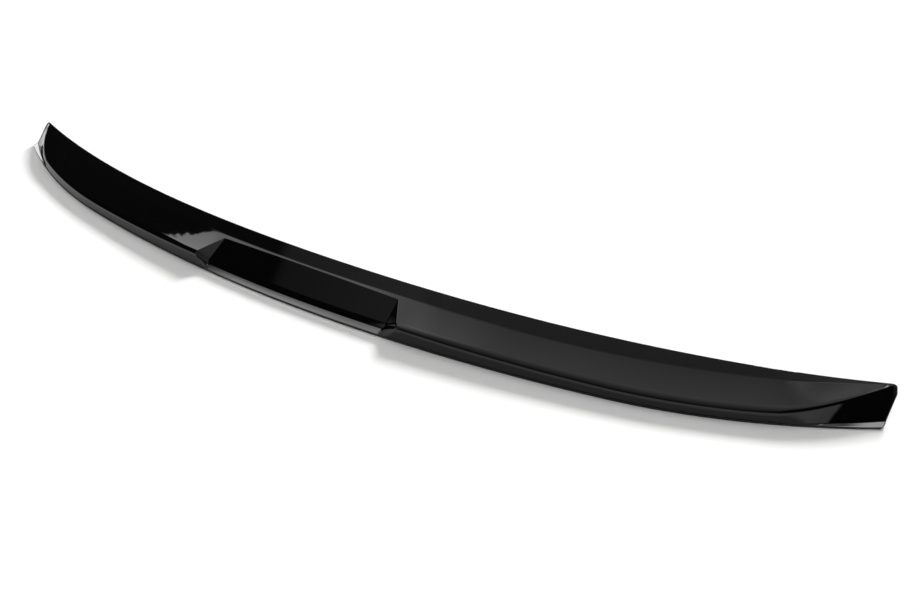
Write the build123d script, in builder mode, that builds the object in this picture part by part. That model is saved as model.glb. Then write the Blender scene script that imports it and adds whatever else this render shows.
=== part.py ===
from build123d import *

import os
from math import asin, cos, pi, radians, sin, sqrt, tan

# A lip spoiler for a boot lid: one thin moulded shell, bowed in plan, open underneath.
# X runs along the car's width, +Y points to the front of the car, +Z is up.
# The shell stands on the rim of its rear edge, and the origin is under the middle of the whole.

# Overall form, in millimetres
length = 1267.0
front_bow = 92.0
chord_depth = 70.5
wall = 3.0

# Height of the front edge: highest at the middle, lowest before the ends, lifted again at the tips
centre_height = 27.4
low_height = 21.7
tip_lift = 4.2
tip_lift_length = 153.5

# Rear rim: it sweeps forward over its last stretch
rim_sweep = 31.5
rim_sweep_length = 253.5

# Level band behind the front edge, which narrows towards the tip
band_width = 25.0
band_tip_width = 0.5
band_taper_length = 333.5

# Deck that falls from the band to the rear and all but levels out at the tip
deck_drop = 5.8
deck_tip_drop = 0.4
deck_tip_width = 1.0
deck_level_length = 112.0

# Rear face under the deck, and the rounded crest between them, which sweeps forward to the crease
rear_draft = 7.0
crest_radius = 5.0
crest_tip_radius = 2.0
crest_sweep_length = 97.0
crest_sweep_power = 1.5
crest_end = 7.0

# Foot that runs along the rim, and the ledge that it leaves outside the end faces
foot_thickness = 2.5
foot_width = 7.0
foot_proud = 0.5
end_ledge = 5.0
end_ledge_length = 113.5

# Recess in the middle of the rear edge: a sloping panel, a lower face and two drafted end walls
recess_half_width = 131.5
panel_slope = 23.3
lower_face_rise = 9.2
lower_face_run = 7.0
panel_foot_radius = 8.0
end_wall_slope = 38.0
end_wall_flare = 38.0

# Ends: each leans out from the foot to the tip, and its corners are rounded in plan
end_lean = 3.6
tip_corner_radius = 4.0
foot_corner_radius = 6.0

# Places worked out from the sizes above
half_length = length / 2
bow_radius = (half_length**2 + front_bow**2) / (2 * front_bow)
tip_angle = asin(half_length / bow_radius)
tip_trim = tip_corner_radius * ((1 + sin(tip_angle)) / cos(tip_angle) - 1)
clear = 10.0
overrun = 0.4
rear_centre = -(chord_depth + front_bow + overrun - tip_trim) / 2
front_centre = rear_centre + chord_depth
spans = 18
foot_share = (half_length - end_lean) / half_length
stations = [length * i / spans - half_length for i in range(spans + 1)]
stations += [side * (half_length - inset) for side in (-1, 1) for inset in (crest_end, 3 * crest_end, 5 * crest_end)]
stations.sort()


def bow(station):
    """Forward sweep of the plan's circular arc."""
    return bow_radius - sqrt(bow_radius**2 - station**2)


def past(station, stretch, amount):
    """A value that grows with the square of the way into the last stretch before the tip."""
    way = max(0.0, abs(station) - half_length + stretch)
    return amount * (way / stretch) ** 2


def rim(station):
    """Rear outline of the foot in plan."""
    return rear_centre + bow(station) + past(station, rim_sweep_length, rim_sweep)


def rear_base(station):
    """Bottom of the rear face, behind which the foot stands proud."""
    return rim(station) + foot_proud + past(station, end_ledge_length, end_ledge)


def front_edge(station):
    """Front edge of the shell, in the section at a station."""
    low_station = half_length - tip_lift_length
    turn = min(abs(station) / low_station, 1.0) * pi / 2
    crown = (centre_height - low_height) * cos(turn) ** 2
    height = low_height + crown + past(station, tip_lift_length, tip_lift)
    return front_centre + bow(station), height


def crease(station):
    """Line where the level band ends and the deck starts to fall."""
    y, z = front_edge(station)
    band = band_width - past(station, band_taper_length, band_width - band_tip_width)
    return y - band, z


def crest_height(station):
    """Height of the sharp corner of the deck and the rear face."""
    level = 1 - past(station, deck_level_length, 1.0)
    return front_edge(station)[1] - deck_tip_drop - (deck_drop - deck_tip_drop) * level**2


def upright(station):
    """Place of that corner where the rear face stands over the rim."""
    return rim(station) + foot_proud + tan(radians(rear_draft)) * crest_height(station)


def crest(station):
    """Sharp corner of the deck and the rear face, before it is rounded: it sweeps forward to the crease."""
    last = half_length - crest_end
    limit = crease(station)[0] - deck_tip_width
    way = max(0.0, abs(station) - half_length + crest_sweep_length) / (crest_sweep_length - crest_end)
    sweep = (crease(last)[0] - deck_tip_width - upright(last)) * way**crest_sweep_power
    return min(upright(station) + sweep, limit), crest_height(station)


def crest_rounding(station):
    """Radius of the crest, which shrinks with the deck at the tip."""
    radius = crest_radius - past(station, crest_sweep_length, crest_radius - crest_tip_radius)
    return min(radius, 0.6 * (crease(station)[0] - crest(station)[0]))


def panel_foot(station):
    """Corner of the recess where its panel meets its lower face."""
    return rear_base(station) + lower_face_run, foot_thickness + lower_face_rise


def end_wall(side, inset):
    """Plane of the recess's end wall at +X or -X, moved into the block by an inset."""
    foot_y, foot_z = panel_foot(recess_half_width)
    deck_y, deck_z = crease(recess_half_width)
    crest_y, crest_z = crest(recess_half_width)
    rise = tan(radians(panel_slope))
    fall = (deck_z - crest_z) / (deck_y - crest_y)
    top_y = (deck_z - foot_z + rise * foot_y - fall * deck_y) / (rise - fall)
    top_z = foot_z + rise * (top_y - foot_y)
    level = sin(radians(end_wall_slope))
    across = level * cos(radians(end_wall_flare))
    along = level * sin(radians(end_wall_flare))
    outward = Vector(side * across, along, -cos(radians(end_wall_slope)))
    return Plane(origin=Vector(side * recess_half_width, top_y, top_z) + outward * inset, z_dir=outward)


def end_plane(side):
    """Plane of the end at +X or -X, which leans out from the foot to the tip."""
    tip_z = front_edge(half_length)[1]
    return Plane(origin=(side * half_length, 0, tip_z), z_dir=(side * tip_z, 0, -end_lean))


def recess_space(inset):
    """Space above the recess's panel and lower face, between its end walls, grown by an inset."""
    reach = recess_half_width + chord_depth
    rise = tan(radians(panel_slope))
    with BuildPart() as space:
        with BuildSketch(Plane.XY.offset(-clear)):
            Rectangle(2 * reach, 4 * chord_depth)
        extrude(amount=centre_height + chord_depth)
        split(bisect_by=end_wall(1, inset), keep=Keep.BOTTOM)
        split(bisect_by=end_wall(-1, inset), keep=Keep.BOTTOM)
        for i in range(-3, 4):
            station = reach * i / 2
            foot_y, foot_z = panel_foot(station)
            run = lower_face_run / lower_face_rise * (foot_z + 2 * clear)
            over = 2 * chord_depth
            with BuildSketch(Plane.YZ.offset(station)) as under:
                with BuildLine():
                    Polyline(
                        (foot_y - run, -2 * clear),
                        (foot_y, foot_z),
                        (foot_y + over, foot_z + rise * over),
                        (foot_y + over, -2 * clear),
                        close=True,
                    )
                make_face()
                if inset:
                    offset(amount=-inset, kind=Kind.INTERSECTION, mode=Mode.REPLACE)
                else:
                    fillet(under.vertices().sort_by_distance((foot_y, foot_z))[0], panel_foot_radius)
        loft(mode=Mode.SUBTRACT)
    return space.part


recess = recess_space(0)
recess_lining = recess_space(wall)

# Hollow of the shell: the section again, set in by the wall and open to the front and underneath
with BuildPart() as hollow:
    for station in [x * (half_length + overrun) / half_length for x in stations]:
        front_y, front_z = front_edge(station)
        crease_y, crease_z = crease(station)
        crest_y, crest_z = crest(station)
        base = rear_base(station)
        below = (crest_y - base) / crest_z * clear
        inner_crest = min(crest_y + wall, crease_y - overrun)
        with BuildSketch(Plane.YZ.offset(station)):
            with BuildLine():
                Polyline(
                    (base + wall - below, -clear),
                    (inner_crest, crest_z - wall),
                    (crease_y, crease_z - wall),
                    (front_y + clear, front_z - wall),
                    (front_y + clear, -clear),
                    close=True,
                )
            make_face()
    loft()
    add(recess_lining, mode=Mode.SUBTRACT)

# Shell: the outer form through all stations, trimmed at its ends, less the recess and the hollow, plus the foot
with BuildPart() as spoiler_shell:
    for station in stations:
        front_y, front_z = front_edge(station)
        crest_y, crest_z = crest(station)
        base = rear_base(station)
        with BuildSketch(Plane.YZ.offset(station)) as outer:
            with BuildLine():
                Polyline(
                    (base, 0),
                    (crest_y, crest_z),
                    crease(station),
                    (front_y, front_z),
                    (front_y, 0),
                    close=True,
                )
            make_face()
            fillet(outer.vertices().sort_by_distance((crest_y, crest_z))[0], crest_rounding(station))
    loft()
    with BuildSketch():
        with BuildLine():
            ahead = Vector(-sin(tip_angle), cos(tip_angle))
            between = Vector(cos(pi / 4 + tip_angle / 2), sin(pi / 4 + tip_angle / 2))
            corner = Vector(half_length, front_edge(half_length)[0]) + Vector(overrun, overrun)
            middle = corner - Vector(1, (1 + sin(tip_angle)) / cos(tip_angle)) * tip_corner_radius
            side = middle + Vector(tip_corner_radius, 0)
            front = middle + ahead * tip_corner_radius
            ThreePointArc(front, middle + between * tip_corner_radius, side)
            Polyline(side, side + Vector(clear, 0), corner + Vector(clear, clear), front + ahead * clear, front)
        make_face()
        mirror(about=Plane.YZ)
    extrude(amount=centre_height + clear, mode=Mode.SUBTRACT)
    split(bisect_by=end_plane(1), keep=Keep.BOTTOM)
    split(bisect_by=end_plane(-1), keep=Keep.BOTTOM)
    add(recess, mode=Mode.SUBTRACT)
    add(hollow.part, mode=Mode.SUBTRACT)
    with BuildSketch() as foot:
        with BuildLine():
            rear_line = Spline([(x * foot_share, rim(x * foot_share)) for x in stations])
            front_line = Spline([(x * foot_share, rim(x * foot_share) + foot_width) for x in stations])
            Line(rear_line @ 0, front_line @ 0)
            Line(rear_line @ 1, front_line @ 1)
        make_face()
        rear_corners = [foot.vertices().sort_by_distance(rear_line @ end)[0] for end in (0, 1)]
        fillet(rear_corners, foot_corner_radius)
    extrude(amount=foot_thickness)

os.makedirs("parts", exist_ok=True)
spoiler_shell.part.label = "spoiler_shell"
export_step(spoiler_shell.part, "parts/spoiler_shell.step")
print("spoiler_shell", spoiler_shell.part.volume, spoiler_shell.part.bounding_box())
print("solids", len(spoiler_shell.part.solids()), "valid", spoiler_shell.part.is_valid)
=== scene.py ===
# %% [markdown]
# # A gloss black boot-lid spoiler
# The object is one moulded shell: a long bowed lip with a level band along its front edge, a deck that
# falls to the rear, a rounded crest, a rear face that stands on a thin foot, and a recess in the middle.
# Polished black plastic has almost no colour of its own, so what the eye reads is the reflection. That is
# why the surface has to be smoother than the CAD triangles, and why the light is set up with such care.

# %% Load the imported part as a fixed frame
from math import acos, asin, cos, hypot, pi, radians, sin, sqrt, tan

import bpy
from mathutils import Matrix, Vector


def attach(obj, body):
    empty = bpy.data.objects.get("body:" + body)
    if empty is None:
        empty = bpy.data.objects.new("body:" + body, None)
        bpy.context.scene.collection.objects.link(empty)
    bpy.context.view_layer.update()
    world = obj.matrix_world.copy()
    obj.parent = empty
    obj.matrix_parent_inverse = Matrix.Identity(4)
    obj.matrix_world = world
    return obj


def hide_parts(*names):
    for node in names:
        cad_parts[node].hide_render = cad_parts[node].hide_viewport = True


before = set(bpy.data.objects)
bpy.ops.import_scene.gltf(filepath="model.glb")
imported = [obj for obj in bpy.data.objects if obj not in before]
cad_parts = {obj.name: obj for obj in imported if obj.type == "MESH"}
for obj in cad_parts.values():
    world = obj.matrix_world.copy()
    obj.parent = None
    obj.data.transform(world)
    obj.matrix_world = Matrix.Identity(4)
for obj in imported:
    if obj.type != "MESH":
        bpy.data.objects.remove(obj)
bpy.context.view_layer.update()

MM = 0.001

# %% [markdown]
# ## The lines that carry the form
# A spoiler like this is drawn as a few long curves seen from above and from behind: the front edge, the
# crease behind the level band, the crest and the rim of the foot. Every cross-section hangs on those
# curves. They could be traced by hand as Bezier curves, but short formulas keep them exactly on the CAD
# solid, so each one is a function of the station, the distance from the middle along X, in millimetres.
# Four roundings are larger than the solid's, because the soft reflections ask for them: the crest, the
# panel's foot, the crease and the tip's corner. All of them stay inside the solid's box.

# %% Sizes of the shell, in millimetres and degrees
HALF_LENGTH, FRONT_BOW, CHORD_DEPTH, WALL = 633.5, 92.0, 70.5, 3.0
CENTRE_HEIGHT, LOW_HEIGHT, TIP_LIFT, TIP_LIFT_LENGTH = 27.4, 21.7, 4.2, 153.5
RIM_SWEEP, RIM_SWEEP_LENGTH = 31.5, 253.5
BAND_WIDTH, BAND_TIP_WIDTH, BAND_TAPER_LENGTH = 25.0, 0.5, 333.5
DECK_DROP, DECK_TIP_DROP, DECK_TIP_WIDTH, DECK_LEVEL_LENGTH = 5.8, 0.4, 1.0, 112.0
REAR_DRAFT, CREST_RADIUS, CREST_TIP_RADIUS = 7.0, 8.0, 2.0
CREST_SWEEP_LENGTH, CREST_SWEEP_POWER, CREST_END = 97.0, 1.5, 7.0
FOOT_THICKNESS, FOOT_WIDTH, FOOT_PROUD = 2.5, 7.0, 0.5
END_LEDGE, END_LEDGE_LENGTH, LEDGE_SLOPE = 5.0, 113.5, 10.0
RECESS_HALF_WIDTH, PANEL_SLOPE, PANEL_FOOT_RADIUS = 131.5, 23.3, 16.0
CREASE_RADIUS, CREASE_END_RADIUS, CREASE_CALM, CREASE_SOFT = 15.0, 60.0, 140.0, 250.0
LOWER_FACE_RISE, LOWER_FACE_RUN = 9.2, 7.0
END_LEAN, TIP_CORNER_RADIUS, TIP_OVERRUN = 3.6, 4.0, 0.4
TIP_SOFT_RADIUS, FOOT_CORNER_RADIUS = 7.0, 6.0

bow_radius = (HALF_LENGTH**2 + FRONT_BOW**2) / (2 * FRONT_BOW)
tip_angle = asin(HALF_LENGTH / bow_radius)
tip_trim = TIP_CORNER_RADIUS * ((1 + sin(tip_angle)) / cos(tip_angle) - 1)
rear_centre = -(CHORD_DEPTH + FRONT_BOW + TIP_OVERRUN - tip_trim) / 2
front_centre = rear_centre + CHORD_DEPTH
print(f"plan radius {bow_radius:.0f} mm, front edge at Y {front_centre:.1f} mm, "
      f"rim at Y {rear_centre:.1f} mm")


# %% The long lines, each a point (Y, Z) for a station
def past(station, stretch, amount):
    """A value that grows with the square of the way into the last stretch before the tip."""
    way = max(0.0, abs(station) - HALF_LENGTH + stretch)
    return amount * (way / stretch) ** 2


def bow(station):
    """Forward sweep of the plan's circular arc."""
    return bow_radius - sqrt(bow_radius**2 - station**2)


def rim(station):
    """Rear outline of the foot."""
    return rear_centre + bow(station) + past(station, RIM_SWEEP_LENGTH, RIM_SWEEP)


def rear_base(station):
    """Bottom of the rear face, in front of the foot's edge."""
    return rim(station) + FOOT_PROUD + past(station, END_LEDGE_LENGTH, END_LEDGE)


def front_edge(station):
    """Front edge, high in the middle, low before the ends and lifted at the tips."""
    turn = min(abs(station) / (HALF_LENGTH - TIP_LIFT_LENGTH), 1.0) * pi / 2
    crown = (CENTRE_HEIGHT - LOW_HEIGHT) * cos(turn) ** 2
    return front_centre + bow(station), LOW_HEIGHT + crown + past(station, TIP_LIFT_LENGTH, TIP_LIFT)


def crease(station):
    """Line where the level band turns down into the deck."""
    y, z = front_edge(station)
    return y - BAND_WIDTH + past(station, BAND_TAPER_LENGTH, BAND_WIDTH - BAND_TIP_WIDTH), z


# %% The crest between the deck and the rear face
def crest_height(station):
    """Height of the sharp corner of the deck and the rear face."""
    level = 1 - past(station, DECK_LEVEL_LENGTH, 1.0)
    return front_edge(station)[1] - DECK_TIP_DROP - (DECK_DROP - DECK_TIP_DROP) * level**2


def upright(station):
    """Place of that corner where the rear face stands over the rim."""
    return rim(station) + FOOT_PROUD + tan(radians(REAR_DRAFT)) * crest_height(station)


def crest(station):
    """Sharp corner of the deck and the rear face, before it is rounded: it sweeps forward to the crease."""
    last = HALF_LENGTH - CREST_END
    limit = crease(station)[0] - DECK_TIP_WIDTH
    way = max(0.0, abs(station) - HALF_LENGTH + CREST_SWEEP_LENGTH) / (CREST_SWEEP_LENGTH - CREST_END)
    sweep = (crease(last)[0] - DECK_TIP_WIDTH - upright(last)) * way**CREST_SWEEP_POWER
    return min(upright(station) + sweep, limit), crest_height(station)


def crest_rounding(station):
    """Radius of the crest, which shrinks with the deck at the tip."""
    radius = CREST_RADIUS - past(station, CREST_SWEEP_LENGTH, CREST_RADIUS - CREST_TIP_RADIUS)
    return min(radius, 0.6 * (crease(station)[0] - crest(station)[0]))


def crease_rounding(station):
    """Radius of the crease: crisp over the recess, softer along the blocks."""
    way = min(1.0, max(0.0, (abs(station) - CREASE_CALM) / (CREASE_SOFT - CREASE_CALM)))
    return CREASE_RADIUS + (CREASE_END_RADIUS - CREASE_RADIUS) * way


# %% The lines of the recess
def panel_foot(station):
    """Corner of the recess where its panel meets its lower face."""
    return rear_base(station) + LOWER_FACE_RUN, FOOT_THICKNESS + LOWER_FACE_RISE


def panel_top(station):
    """Edge where the recess's panel comes out through the deck."""
    foot_y, foot_z = panel_foot(station)
    deck_y, deck_z = crease(station)
    crest_y, crest_z = crest(station)
    rise, fall = tan(radians(PANEL_SLOPE)), (deck_z - crest_z) / (deck_y - crest_y)
    y = (deck_z - foot_z + rise * foot_y - fall * deck_y) / (rise - fall)
    return y, foot_z + rise * (y - foot_y)


for station in (0.0, 300.0, 600.0):
    print("station", station, "crest", [round(v, 1) for v in crest(station)], "rim", round(rim(station), 1))

# %% [markdown]
# ## One cross-section as a closed string of points
# The section is walked once round: up the foot's edge, over the ledge, up the rear face, round the crest,
# along the deck, the crease and the band, round the front edge, and back along the inside of the shell.
# Every rounded corner gets its own few points, and a point close to each side of a crease keeps the
# reflection crisp there. The blocks and the recess have the same number of points in the same order, so
# that one grid can run through both.


# %% Small helpers for a section
def between(a, b, shares):
    """Points on the line from a to b at the given shares of the way."""
    return [(a[0] + (b[0] - a[0]) * t, a[1] + (b[1] - a[1]) * t) for t in shares]


def rounded(before, corner, after, radius, steps):
    """An arc that rounds a corner, from the side of the point before to the side of the point after."""
    arm_in = (Vector(before) - Vector(corner)).normalized()
    arm_out = (Vector(after) - Vector(corner)).normalized()
    turn = acos(max(-1.0, min(1.0, arm_in.dot(arm_out))))
    start = Vector(corner) + arm_in * (radius / tan(turn / 2))
    middle = Vector(corner) + (arm_in + arm_out).normalized() * (radius / sin(turn / 2))
    spoke = start - middle
    side = -1 if arm_in.x * arm_out.y - arm_in.y * arm_out.x > 0 else 1
    swing = (pi - turn) * side
    points = []
    for i in range(steps):
        angle = swing * i / (steps - 1)
        points.append((
            middle.x + spoke.x * cos(angle) - spoke.y * sin(angle),
            middle.y + spoke.x * sin(angle) + spoke.y * cos(angle),
        ))
    return points


def crossing(a, slope_a, b, slope_b):
    """Point where two sloping lines meet, each given by a point and its rise for each millimetre of Y."""
    y = (b[1] - a[1] + slope_a * a[0] - slope_b * b[0]) / (slope_a - slope_b)
    return y, a[1] + slope_a * (y - a[0])


TOP_SHARE = (crease(RECESS_HALF_WIDTH)[0] - panel_top(RECESS_HALF_WIDTH)[0]) / (
    crease(RECESS_HALF_WIDTH)[0] - crest(RECESS_HALF_WIDTH)[0]
)
print(f"the recess takes {100 - 100 * TOP_SHARE:.0f} % of the deck's depth at its ends")


# %% How finely each stretch is divided, and the small edges
EDGE_STEPS, BEND_STEPS, FOLD_STEPS, NOSE_STEPS = 3, 9, 5, 6
LEDGE_SHARES = [0.3, 0.6, 0.9]
FACE_SHARES = [0.05, 0.4, 0.75, 0.96]
DECK_SHARES = [0.04, 0.2, 0.4, 0.6, 0.8, 0.96]
STRIP_SHARES = [0.08, 0.5, 0.92]
BAND_SHARES = [0.03, 0.3, 0.6, 0.9]
UNDER_PANEL_SHARES = [0.33, 0.67, 0.97]
UNDER_FACE_SHARES = [0.05, 0.5, 0.97]
HALFWAY = [0.5]
# radii of the foot's lower edge, of its upper edge and of the front edge, in millimetres
FINE_EDGE, SOFT_EDGE, NOSE_RADIUS = 0.3, 0.5, 1.0
# the least that is left between corners on the inside, in millimetres
LIP_GAP, INNER_GAP = 0.3, 0.2
# the largest share of a narrow stretch that a rounding beside it may take
NOSE_ROOM, LEDGE_ROOM, STRIP_ROOM, BAND_ROOM = 0.6, 0.45, 0.4, 0.3
print("points on the bend:", BEND_STEPS, "- on the fold:", FOLD_STEPS, "- on the nose:", NOSE_STEPS)


# %% The corners that a section is hung on
def ledge_rise(station):
    """Half of what the sloping ledge gains from the foot's edge to the rear face."""
    return tan(radians(LEDGE_SLOPE)) * (rear_base(station) - rim(station) - FOOT_PROUD) / 2


def foot_inside(station):
    """Inner side of the foot, which clears the shell's wall."""
    return max(rim(station) + FOOT_WIDTH, rear_base(station) + WALL + LIP_GAP)


def rear_corners(station, recessed):
    """Base of the rear side, its bend and its top, and the radius of the bend."""
    base_y = rear_base(station)
    if recessed:
        return (base_y, FOOT_THICKNESS), panel_foot(station), panel_top(station), PANEL_FOOT_RADIUS
    corner, height = crest(station), FOOT_THICKNESS + ledge_rise(station)
    base = (base_y + (corner[0] - base_y) * height / corner[1], height)
    return base, corner, between(crease(station), corner, [TOP_SHARE])[0], crest_rounding(station)


def inner_corners(station, recessed):
    """The corners under the bend and under the top, a wall's thickness inside them."""
    _, corner, top, _ = rear_corners(station, recessed)
    if not recessed:
        inner_y = min(corner[0] + WALL, crease(station)[0] - INNER_GAP)
        return (inner_y, corner[1] - WALL), (top[0], top[1] - WALL)
    rise, steep = tan(radians(PANEL_SLOPE)), LOWER_FACE_RISE / LOWER_FACE_RUN
    panel_line = (corner[0], corner[1] - WALL / cos(radians(PANEL_SLOPE)))
    face_line = (corner[0], corner[1] - WALL * hypot(1.0, steep))
    return crossing(panel_line, rise, face_line, steep), (top[0], panel_line[1] + rise * (top[0] - corner[0]))


# %% The section in two walks, outside and inside
def outer_walk(station, recessed):
    """Points of the outside, from under the foot round the rear and over the deck to the band."""
    base, corner, top, radius = rear_corners(station, recessed)
    crease_point, front_point = crease(station), front_edge(station)
    foot_in, foot_low = (foot_inside(station), 0.0), (rim(station), 0.0)
    foot_high = (rim(station), FOOT_THICKNESS - ledge_rise(station))
    ledge = rear_base(station) - rim(station)
    bend = rounded(base, corner, top, radius, BEND_STEPS)
    fall = (crease_point[1] - top[1]) / (crease_point[0] - top[0])
    reach = min(crease_rounding(station) * fall / 2, STRIP_ROOM * (crease_point[0] - top[0]),
                BAND_ROOM * (front_point[0] - crease_point[0]))
    fold = rounded(top, crease_point, front_point, 2 * reach / fall, FOLD_STEPS)
    points = [foot_in] + rounded(foot_in, foot_low, foot_high, FINE_EDGE, EDGE_STEPS)
    points += rounded(foot_low, foot_high, base, min(SOFT_EDGE, LEDGE_ROOM * ledge), EDGE_STEPS)
    points += between(foot_high, base, LEDGE_SHARES) + [base]
    points += between(base, bend[0], FACE_SHARES) + bend
    points += between(bend[-1], top, DECK_SHARES) + [top]
    points += between(top, fold[0], STRIP_SHARES) + fold
    return points + between(fold[-1], front_point, BAND_SHARES)


def inner_walk(station, recessed):
    """Points round the front edge and back along the inside of the shell to the foot."""
    base = rear_corners(station, recessed)[0]
    under_corner, under_top = inner_corners(station, recessed)
    crease_point, front_point = crease(station), front_edge(station)
    front_low = (front_point[0], front_point[1] - WALL)
    under_crease = (crease_point[0], crease_point[1] - WALL)
    nose = min(NOSE_RADIUS, NOSE_ROOM * (front_point[0] - crease_point[0]))
    foot_in = foot_inside(station)
    under_base, foot_lip = (min(base[0] + WALL, foot_in - INNER_GAP), FOOT_THICKNESS), (foot_in, FOOT_THICKNESS)
    points = rounded(crease_point, front_point, front_low, nose, NOSE_STEPS)
    points += rounded(front_point, front_low, under_crease, min(SOFT_EDGE, nose), EDGE_STEPS)
    points += between(front_low, under_crease, HALFWAY) + [under_crease, under_top]
    points += between(under_top, under_corner, UNDER_PANEL_SHARES) + [under_corner]
    points += between(under_corner, under_base, UNDER_FACE_SHARES) + [under_base]
    return points + between(under_base, foot_lip, HALFWAY) + [foot_lip]


def section(station, recessed):
    """All points (Y, Z) round the shell at a station, in millimetres."""
    return outer_walk(station, recessed) + inner_walk(station, recessed)


# %% The rows that lie on the corners
BASE_ROW = 1 + 2 * EDGE_STEPS + len(LEDGE_SHARES)
BEND_ROW = BASE_ROW + len(FACE_SHARES) + (BEND_STEPS + 1) // 2
TOP_ROW = BASE_ROW + len(FACE_SHARES) + BEND_STEPS + len(DECK_SHARES) + 1
FRONT_ROW = TOP_ROW + len(STRIP_SHARES) + FOLD_STEPS + len(BAND_SHARES) + NOSE_STEPS + EDGE_STEPS
UNDER_CREASE_ROW = FRONT_ROW + len(HALFWAY) + 1
UNDER_CORNER_ROW = UNDER_CREASE_ROW + len(UNDER_PANEL_SHARES) + 2
UNDER_BASE_ROW = UNDER_CORNER_ROW + len(UNDER_FACE_SHARES) + 1
ROWS = len(section(0.0, True))
print("points in a section:", ROWS, "- the same in a block:", len(section(300.0, False)) == ROWS)

# %% [markdown]
# ## Where the recess ends and where the tip ends
# The recess stops at a small leaning wall on each side. Its lower line runs on the panel and its upper line
# on the deck and the rear face, and the two meet at the top corner, so every row of the grid has its own
# station for each of them. The tip is cut by an end face that leans in a little, and the corners of the tip
# and of the foot are rounded in plan, so every row has its own last station too. Setting these before the
# grid exists means that its edges lie on the real creases, and nothing has to be cut afterwards.


# %% Stations of the recess's end wall, row by row
def spread_along(points, keys):
    """A value for every row, given at some rows and shared out by the length of the section between them."""
    way = [0.0]
    for a, b in zip(points, points[1:]):
        way.append(way[-1] + hypot(b[0] - a[0], b[1] - a[1]))
    values = []
    for row in range(len(points)):
        low = max(k for k in keys if k <= row)
        high = min(k for k in keys if k >= row)
        share = 0.0 if low == high else (way[row] - way[low]) / (way[high] - way[low])
        values.append(keys[low] + (keys[high] - keys[low]) * share)
    return values


WALL_FOOT = {0: 127.0, BASE_ROW: 127.0, BEND_ROW: 134.0, TOP_ROW: 131.2, UNDER_CREASE_ROW: 131.2,
             UNDER_CREASE_ROW + 1: 134.2, UNDER_CORNER_ROW: 137.0, UNDER_BASE_ROW: 130.0, ROWS - 1: 127.0}
WALL_TOP = {0: 141.0, BASE_ROW: 141.0, BEND_ROW: 150.5, TOP_ROW: 131.8, UNDER_CREASE_ROW: 131.8,
            UNDER_CREASE_ROW + 1: 134.8, UNDER_CORNER_ROW: 153.0, UNDER_BASE_ROW: 144.0, ROWS - 1: 141.0}
wall_foot = spread_along(section(RECESS_HALF_WIDTH, True), WALL_FOOT)
wall_top = spread_along(section(RECESS_HALF_WIDTH, False), WALL_TOP)
print(f"end wall: {wall_top[BASE_ROW] - wall_foot[BASE_ROW]:.0f} mm wide at the foot, "
      f"{wall_top[TOP_ROW] - wall_foot[TOP_ROW]:.1f} mm at its top corner")


# %% Last station of every row
SEARCH_BACK, SEARCH_PAST, HALVINGS = 40.0, 0.1, 24
tip_height = front_edge(HALF_LENGTH)[1]
tip_y = front_edge(HALF_LENGTH)[0]
corner_x = HALF_LENGTH - TIP_SOFT_RADIUS
corner_y = tip_y - TIP_SOFT_RADIUS * (1 + sin(tip_angle)) / cos(tip_angle)
foot_end = HALF_LENGTH - END_LEAN
foot_sweep = rim(foot_end) - rim(foot_end - 1)
foot_x = foot_end - FOOT_CORNER_RADIUS
foot_y = rim(foot_end) + FOOT_CORNER_RADIUS * (hypot(1, foot_sweep) - foot_sweep)


def inside_tip(station, row):
    """Whether a row's point at a station is still within the end face and the rounded corners."""
    y, z = section(station, False)[row]
    if station > HALF_LENGTH - END_LEAN * (1 - z / tip_height):
        return False
    if station > corner_x and y > corner_y:
        return hypot(station - corner_x, y - corner_y) <= TIP_SOFT_RADIUS
    out, back = station - foot_x, foot_y - y
    if row < BASE_ROW and out > 0 and 0 < back < out / foot_sweep:
        return hypot(out, back) <= FOOT_CORNER_RADIUS
    return True


def last_station(row):
    """The station where a row runs out of the tip, found by halving."""
    low, high = HALF_LENGTH - SEARCH_BACK, HALF_LENGTH + SEARCH_PAST
    for _ in range(HALVINGS):
        middle = (low + high) / 2
        low, high = (middle, high) if inside_tip(middle, row) else (low, middle)
    return low


tip_station = [last_station(row) for row in range(ROWS)]
print(f"rows end between {min(tip_station):.1f} and {max(tip_station):.1f} mm from the middle")

# %% [markdown]
# ## The right half, from one flat grid
# A flat grid is the plainest start for a long skin: one side of it runs round the section, the other along
# the spoiler. Each point then moves to its place on the section at its own station. The columns crowd where
# the form turns, beside the recess's wall and at the tip, and spread out along the calm middle of the block.

# %% Place the points of the grid
RECESS_SHARES = [0.0, 0.1, 0.2, 0.3, 0.4, 0.5, 0.6, 0.7, 0.8, 0.88, 0.94, 0.98, 0.993, 1.0]
WALL_SHARES = [0.08, 0.5, 0.92, 1.0]
BLOCK_SHARES = [0.002, 0.007, 0.018, 0.035, 0.06, 0.09] + [0.12 + 0.04 * i for i in range(23)]
TIP_START = 540.0
TIP_SHARES = [0.05 * (i + 1) for i in range(17)] + [0.88, 0.9, 0.92, 0.93, 0.945, 0.96, 0.975, 0.99, 1.0]


def place(row, group, share):
    """Point of a row in one of the four groups of columns, in metres."""
    foot, top, end = wall_foot[row], wall_top[row], tip_station[row]
    if group == "wall":
        low = (foot, *section(foot, True)[row])
        high = (top, *section(top, False)[row])
        return tuple(MM * (a + (b - a) * share) for a, b in zip(low, high))
    station = {"recess": foot * share, "block": top + (TIP_START - top) * share,
               "tip": TIP_START + (end - TIP_START) * share}[group]
    y, z = section(station, group == "recess")[row]
    return MM * station, MM * y, MM * z


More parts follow.
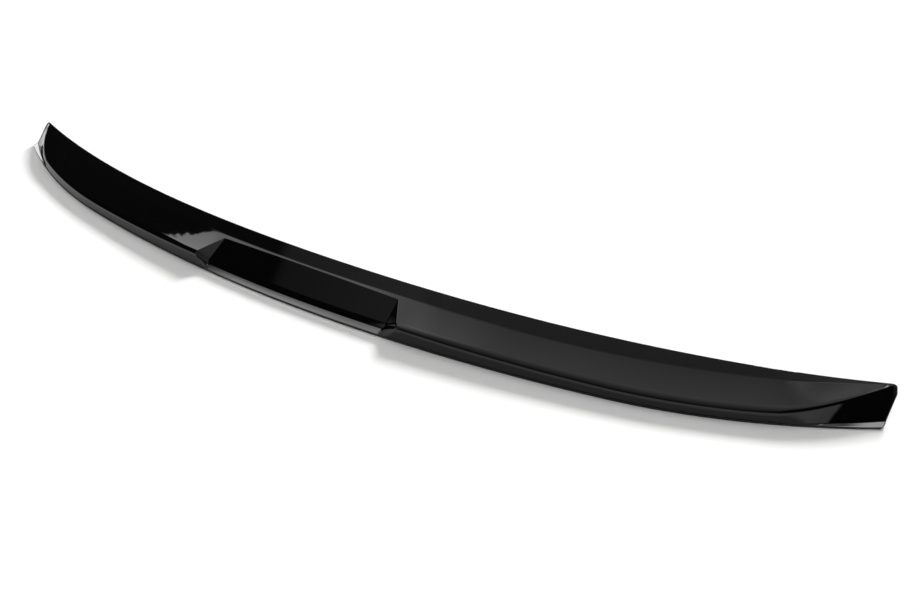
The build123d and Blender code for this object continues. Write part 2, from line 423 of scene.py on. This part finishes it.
columns = [("recess", t) for t in RECESS_SHARES] + [("wall", t) for t in WALL_SHARES]
columns += [("block", t) for t in BLOCK_SHARES] + [("tip", t) for t in TIP_SHARES]
bpy.ops.object.select_all(action="DESELECT")
bpy.ops.mesh.primitive_grid_add(x_subdivisions=len(columns) - 1, y_subdivisions=ROWS, size=1.0)
shell = bpy.context.object
shell.name = "spoiler_skin"
coordinates = []
for row in list(range(ROWS)) + [0]:
    for group, share in columns:
        coordinates += place(row, group, share)
shell.data.vertices.foreach_set("co", coordinates)
shell.data.update()
print("grid points:", len(shell.data.vertices), "columns:", len(columns))

# %% [markdown]
# ## Closing the skin
# The grid has been rolled up, so its first and last rows lie on each other and Merge by Distance sews them
# together. The open end at the tip gets a cap. The other open end lies on the middle plane, where the
# Mirror modifier makes the left half and joins it, as a modeller would for any symmetrical part.

# %% Sew the seam, cap the tip, mirror
MERGE = 0.02 * MM
bpy.ops.object.mode_set(mode="EDIT")
bpy.ops.mesh.select_all(action="SELECT")
bpy.ops.mesh.remove_doubles(threshold=MERGE)
bpy.ops.mesh.select_all(action="DESELECT")
bpy.ops.mesh.select_mode(type="VERT")
bpy.ops.mesh.select_non_manifold()
bpy.ops.object.mode_set(mode="OBJECT")
for vertex in shell.data.vertices:
    vertex.select = vertex.select and vertex.co.x > TIP_START * MM
for line in shell.data.edges:
    line.select = all(shell.data.vertices[i].select for i in line.vertices)
print("points round the open tip:", sum(v.select for v in shell.data.vertices))
bpy.ops.object.mode_set(mode="EDIT")
bpy.ops.mesh.edge_face_add()
bpy.ops.object.mode_set(mode="OBJECT")

mirror = shell.modifiers.new("left half", "MIRROR")
mirror.merge_threshold = MERGE
bpy.ops.object.modifier_apply(modifier=mirror.name)
bpy.ops.object.mode_set(mode="EDIT")
bpy.ops.mesh.select_all(action="SELECT")
bpy.ops.mesh.remove_doubles(threshold=MERGE)
bpy.ops.mesh.normals_make_consistent(inside=False)
bpy.ops.object.mode_set(mode="OBJECT")
print("faces of the whole skin:", len(shell.data.polygons))

# %% [markdown]
# ## Smooth shading that stays flat where the part is flat
# A moulded gloss surface is flat on its panels and turns only in its narrow roundings. Plain smooth shading
# would bend the reflection over the whole panel, so a Weighted Normal modifier lets the large faces decide
# and leaves the turning to the small faces of the roundings.

# %% Shade the skin
FACE_WEIGHT = 100
bpy.ops.object.shade_smooth()
weighted = shell.modifiers.new("flat panels", "WEIGHTED_NORMAL")
weighted.mode = "FACE_AREA"
weighted.weight = FACE_WEIGHT
weighted.keep_sharp = False
bpy.ops.object.modifier_apply(modifier=weighted.name)
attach(shell, "root")
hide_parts("spoiler_shell")
triangles = sum(len(p.vertices) - 2 for p in shell.data.polygons)
print("triangles:", triangles)

# %% [markdown]
# ## The finish: injection-moulded ABS, polished gloss black
# The tool for such a part is polished, so the plastic comes out nearly mirror smooth. Three small faults
# keep it from looking like glass: a very low orange peel a few millimetres across, slow sink marks over the
# hollow, and specks of dust with wiping marks. The eye sees them as a slightly ragged edge of each
# reflection. All patterns are drawn on Object coordinates, in metres, so a scale is one over the size.


# %% Helpers for colours and nodes
def srgb(text):
    """A colour written as hex, turned into the linear values that a shader works with."""
    parts = [int(text[i:i + 2], 16) / 255 for i in (1, 3, 5)]
    return [p / 12.92 if p <= 0.04045 else ((p + 0.055) / 1.055) ** 2.4 for p in parts] + [1.0]


def add_node(tree, kind, settings=None, values=None, links=None):
    """Add a node with its settings, its constant inputs and its links."""
    node = tree.nodes.new(kind)
    for name, value in (settings or {}).items():
        setattr(node, name, value)
    for name, value in (values or {}).items():
        node.inputs[name].default_value = value
    for name, source in (links or {}).items():
        tree.links.new(source, node.inputs[name])
    return node


def new_material(name):
    """An empty material and its tree, with the output and the shader left in place."""
    material = bpy.data.materials.new(name)
    material.use_nodes = True
    return material, material.node_tree, material.node_tree.nodes["Principled BSDF"]


def mixed(tree, share, first, second):
    """The colour between two hex colours that a share of 0 to 1 picks."""
    node = add_node(tree, "ShaderNodeMix", {"data_type": "RGBA"}, links={"Factor": share})
    for socket, text in zip([s for s in node.inputs if s.type == "RGBA"], (first, second)):
        socket.default_value = srgb(text)
    return [s for s in node.outputs if s.type == "RGBA"][0]


# %% The gloss black plastic
PEEL, PEEL_HEIGHT = 4 * MM, 0.002 * MM
SINK, SINK_HEIGHT = 60 * MM, 0.02 * MM
DUST, DUST_SPECK = 14 * MM, 0.02
POLISHED, WIPED = 0.012, 0.022
SKIN_IOR = 1.4  # mirrors a little less than bare ABS

gloss, tree, shader = new_material("Injection-moulded ABS, polished gloss black")
where = add_node(tree, "ShaderNodeTexCoord").outputs["Object"]
peel = add_node(tree, "ShaderNodeTexNoise", values={"Scale": 1 / PEEL, "Detail": 1.0},
                links={"Vector": where})
sink = add_node(tree, "ShaderNodeTexNoise", values={"Scale": 1 / SINK, "Detail": 0.0},
                links={"Vector": where})
slow = add_node(tree, "ShaderNodeBump", values={"Strength": 1.0, "Distance": SINK_HEIGHT},
                links={"Height": sink.outputs["Fac"]})
fine = add_node(tree, "ShaderNodeBump", values={"Strength": 1.0, "Distance": PEEL_HEIGHT},
                links={"Height": peel.outputs["Fac"], "Normal": slow.outputs["Normal"]})
cells = add_node(tree, "ShaderNodeTexVoronoi", values={"Scale": 1 / DUST}, links={"Vector": where})
speck = add_node(tree, "ShaderNodeMapRange", {"interpolation_type": "SMOOTHSTEP"},
                 {"From Min": DUST_SPECK, "From Max": 0.0}, {"Value": cells.outputs["Distance"]})
wiped = add_node(tree, "ShaderNodeMapRange", values={"To Min": POLISHED, "To Max": WIPED},
                 links={"Value": sink.outputs["Fac"]})
tree.links.new(mixed(tree, speck.outputs["Result"], "#050505", "#4A4A4A"), shader.inputs["Base Color"])
tree.links.new(fine.outputs["Normal"], shader.inputs["Normal"])
tree.links.new(wiped.outputs["Result"], shader.inputs["Roughness"])
shader.inputs["IOR"].default_value = SKIN_IOR
shell.data.materials.clear()
shell.data.materials.append(gloss)
print("finish:", gloss.name, "with", len(tree.nodes), "nodes")

# %% [markdown]
# ## The floor and the key lamp
# The part lies on a sweep of white paper. One lamp stands behind it, on the far side from the camera, and
# throws the shadow towards us. That is a choice for a gloss black object: its rear face mirrors the strip of
# floor between it and us, and that strip has to be in shadow for the face to stay dark.

# %% The pale floor
FLOOR_SIZE, FLOOR_GAP = 30.0, 0.2 * MM
FIBRE_CLOUD = 0.3
PAPER_ROUGH, PAPER_SHEEN = 0.9, 0.2
bpy.ops.object.select_all(action="DESELECT")
bpy.ops.mesh.primitive_plane_add(size=FLOOR_SIZE, location=(0, 0, -FLOOR_GAP))
floor = bpy.context.object
floor.name = "studio_floor"
paper, tree, shader = new_material("Matt white paper sweep")
where = add_node(tree, "ShaderNodeTexCoord").outputs["Object"]
cloud = add_node(tree, "ShaderNodeTexNoise", values={"Scale": 1 / FIBRE_CLOUD, "Detail": 2.0},
                 links={"Vector": where})
tree.links.new(mixed(tree, cloud.outputs["Fac"], "#F5F5F4", "#F8F8F7"), shader.inputs["Base Color"])
shader.inputs["Roughness"].default_value = PAPER_ROUGH
shader.inputs["Specular IOR Level"].default_value = PAPER_SHEEN
floor.data.materials.append(paper)
print("floor:", paper.name, f"{FLOOR_SIZE:.0f} m wide")

# %% The lamp behind the part
LAMP_AZIMUTH, LAMP_HEIGHT, LAMP_WIDTH = radians(3), radians(27), radians(14)
LAMP_LIGHT, LAMP_DISTANCE = 4.4, 3
level = cos(LAMP_HEIGHT)
to_lamp = Vector((sin(LAMP_AZIMUTH) * level, cos(LAMP_AZIMUTH) * level, sin(LAMP_HEIGHT)))
bpy.ops.object.light_add(type="SUN", location=LAMP_DISTANCE * to_lamp)
key = bpy.context.object
key.name = "lamp_behind"
key.data.energy, key.data.angle = LAMP_LIGHT, LAMP_WIDTH
key.rotation_euler = to_lamp.to_track_quat("Z", "Y").to_euler()
print(f"lamp behind the part, {sin(LAMP_HEIGHT):.2f} of its light falls on the floor")

# %% [markdown]
# ## A room drawn from the mirror's side
# Each face of the part mirrors its own piece of the room, so the room is drawn as bright zones on a dark
# ground, with a pale strip all round at the foot of its walls. Lamps and panels could be set up one by one, but
# a zone drawn straight on the World goes exactly where a face looks. It is placed by measures of a direction:
# how far it points to the side (X, from -1 to 1), how far it leans from straight up, in degrees, forward as
# plus and towards us as minus, and how high it points. The deck looks forward at about 30 degrees, the band at
# 46, the recess's panel straight up, its lower face back at -65, and the rounded crest sweeps through all
# angles from the deck's to the floor behind us.

# %% Measures of a direction
world = bpy.data.worlds.new("Dark room with bright zones")
bpy.context.scene.world = world
world.use_nodes = True
room = world.node_tree
direction = add_node(room, "ShaderNodeTexCoord").outputs["Generated"]


def reckon(operation, links, values=None):
    """The result of a Math node of the room."""
    return add_node(room, "ShaderNodeMath", {"operation": operation}, values, links).outputs["Value"]


axes = add_node(room, "ShaderNodeSeparateXYZ", links={"Vector": direction}).outputs
lean = reckon("DEGREES", {0: reckon("ARCTAN2", {0: axes["Y"], 1: axes["Z"]})})
place_in_room = add_node(room, "ShaderNodeCombineXYZ",
                         links={"X": axes["X"], "Y": lean, "Z": axes["Z"]}).outputs["Vector"]
SIDE, LEAN, HEIGHT = (1, 0, 0), (0, 1, 0), (0, 0, 1)
BAND_LEAN, WINDOW_LEAN, LOW_LEAN, TIP_LEAN = (-12, 1, 0), (-34, 1, 0), (-5.8, 1, 0), (-130, 1, 0)
TOOTH = 0.008
print("a direction is measured by its side, its lean and its height")


# %% Helpers for the zones
def edge(measure, dark, full, least=0.0, straight=False, ragged=0.0):
    """A value that climbs from its least to 1 between two places along a measure; its line may be ragged."""
    along = add_node(room, "ShaderNodeVectorMath", {"operation": "DOT_PRODUCT"}, {1: measure},
                     {0: place_in_room}).outputs["Value"]
    if ragged:
        teeth = add_node(room, "ShaderNodeTexNoise", values={"Scale": 1 / TOOTH, "Detail": 2.0},
                         links={"Vector": direction})
        along = reckon("MULTIPLY_ADD", {0: teeth.outputs["Fac"], 2: along}, {1: ragged})
    kind = "LINEAR" if straight else "SMOOTHSTEP"
    return add_node(room, "ShaderNodeMapRange", {"interpolation_type": kind},
                    {"From Min": dark, "From Max": full, "To Min": least}, {"Value": along}).outputs["Result"]


def zone(level, *edges):
    """A bright zone: its level, taken down by each of its edges."""
    light = edges[0]
    for other in edges[1:]:
        light = reckon("MULTIPLY", {0: light, 1: other})
    return reckon("MULTIPLY", {0: light}, {1: level})


# %% Zones over the right block
front_end = edge(LEAN, 70, 55)
zones = [
    # the sky, dim above the band and fading towards us
    zone(1.1, edge(SIDE, -0.435, -0.395), edge(SIDE, 0.64, 0.45), edge(LEAN, -78, 20, straight=True),
         edge(BAND_LEAN, 35.5, 29.5, 0.36), edge(BAND_LEAN, 44, 36, 0.7), front_end),
    # brighter towards the right tip, on its deck and on its band
    zone(1.0, edge(SIDE, 0.045, 0.055), edge(SIDE, 0.088, 0.078), edge(TIP_LEAN, 25.6, 28.2),
         edge(LEAN, 46, 42)),
    zone(0.9, edge(SIDE, 0.078, 0.088), edge(SIDE, 0.16, 0.13), edge(LEAN, 36, 37.5), edge(LEAN, 46, 42)),
    zone(0.25, edge(SIDE, -0.03, 0.03), edge(SIDE, 0.12, 0.06), edge(LEAN, 42, 46), front_end),
]
print("zones over the right block:", len(zones))

# %% Zones over the recess and the left block
zones += [
    # the window over the strip, its fading right side, and its far end where the left block mirrors it
    zone(1.9, edge(SIDE, -0.705, -0.69), edge(SIDE, -0.36, -0.50), edge(LEAN, 44, 31, straight=True),
         edge(LEAN, 14, 21)),
    zone(0.4, edge(SIDE, -0.46, -0.40), edge(SIDE, -0.26, -0.36), edge(LEAN, 40, 31), edge(LEAN, 14, 21)),
    zone(3.4, edge(SIDE, -0.752, -0.744), edge(SIDE, -0.69, -0.705),
         edge(WINDOW_LEAN, 55.75, 55.55, ragged=1.1), edge(LEAN, 32, 28.5, 0.5, straight=True),
         edge(LEAN, 0, 6)),
    # the left end of the sky, overhead
    zone(1.0, edge(SIDE, -0.435, -0.40), edge(SIDE, -0.27, -0.40), edge(LEAN, -60, -10), edge(LEAN, 30, 16)),
    # the dim room over the recess's panel and the left part of the band
    zone(0.30, edge(SIDE, -0.75, -0.43, straight=True), edge(SIDE, -0.622, -0.602), edge(SIDE, -0.40, -0.435),
         edge(LEAN, -12, -5), front_end),
]
print("zones with those over the recess and the left block:", len(zones))

# %% Low zones, and the whole room
DARK_ROOM = 0.012
zones += [
    # a low lamp behind us for the recess's lower face
    zone(9.5, edge(SIDE, -0.76, -0.67), edge(SIDE, -0.42, -0.60, 0.6), edge(SIDE, -0.34, -0.38),
         edge(LOW_LEAN, -59.8, -61.4), edge(LEAN, -72, -68)),
    # the pale foot of the walls all round, which carries the paper's white on to the horizon
    zone(0.95, edge(HEIGHT, 0.19, 0.13)),
    # two small lamps for the ledges at the ends
    zone(6.5, edge(SIDE, -0.828, -0.84), edge(SIDE, -0.93, -0.90), edge(LEAN, 36, 39.5), edge(LEAN, 52, 46)),
    zone(7.5, edge(SIDE, 0.14, 0.18), edge(SIDE, 0.235, 0.215), edge(LEAN, 30, 33), edge(LEAN, 41, 39)),
]
total = reckon("ADD", {0: zones[0]}, {1: DARK_ROOM})
for light in zones[1:]:
    total = reckon("ADD", {0: total, 1: light})
background = room.nodes["Background"]
room.links.new(total, background.inputs["Strength"])
background.inputs["Color"].default_value = srgb("#FFFFFF")
print("zones in the room:", len(zones))

# %% [markdown]
# ## The camera, where the photographer stood
# The photograph is taken from about a metre away, from behind and above, with a short lens that makes the near
# end look larger. The place, the turn and the lens were worked out from the outline, using that the two halves
# mirror each other, and are set as plain numbers here.

# %% Set up the camera
FOCAL_PIXELS, IMAGE_WIDTH, SENSOR = 749.6, 920, 36.0
PITCH, YAW, ROLL = radians(39.593), radians(31.138), radians(2.044)
EYE = Vector((529.94, -552.86 + front_centre, 555.0)) * MM
bpy.ops.object.camera_add()
camera = bpy.context.object
camera.data.sensor_width = SENSOR
camera.data.lens = FOCAL_PIXELS / IMAGE_WIDTH * SENSOR
turn = Matrix.Rotation(YAW, 4, "Z") @ Matrix.Rotation(pi / 2 - PITCH, 4, "X") @ Matrix.Rotation(-ROLL, 4, "Z")
camera.matrix_world = Matrix.Translation(EYE) @ turn
bpy.context.scene.camera = camera
bpy.context.scene.view_settings.view_transform = "Standard"
print(f"camera {camera.data.lens:.1f} mm at", [round(v, 3) for v in EYE])
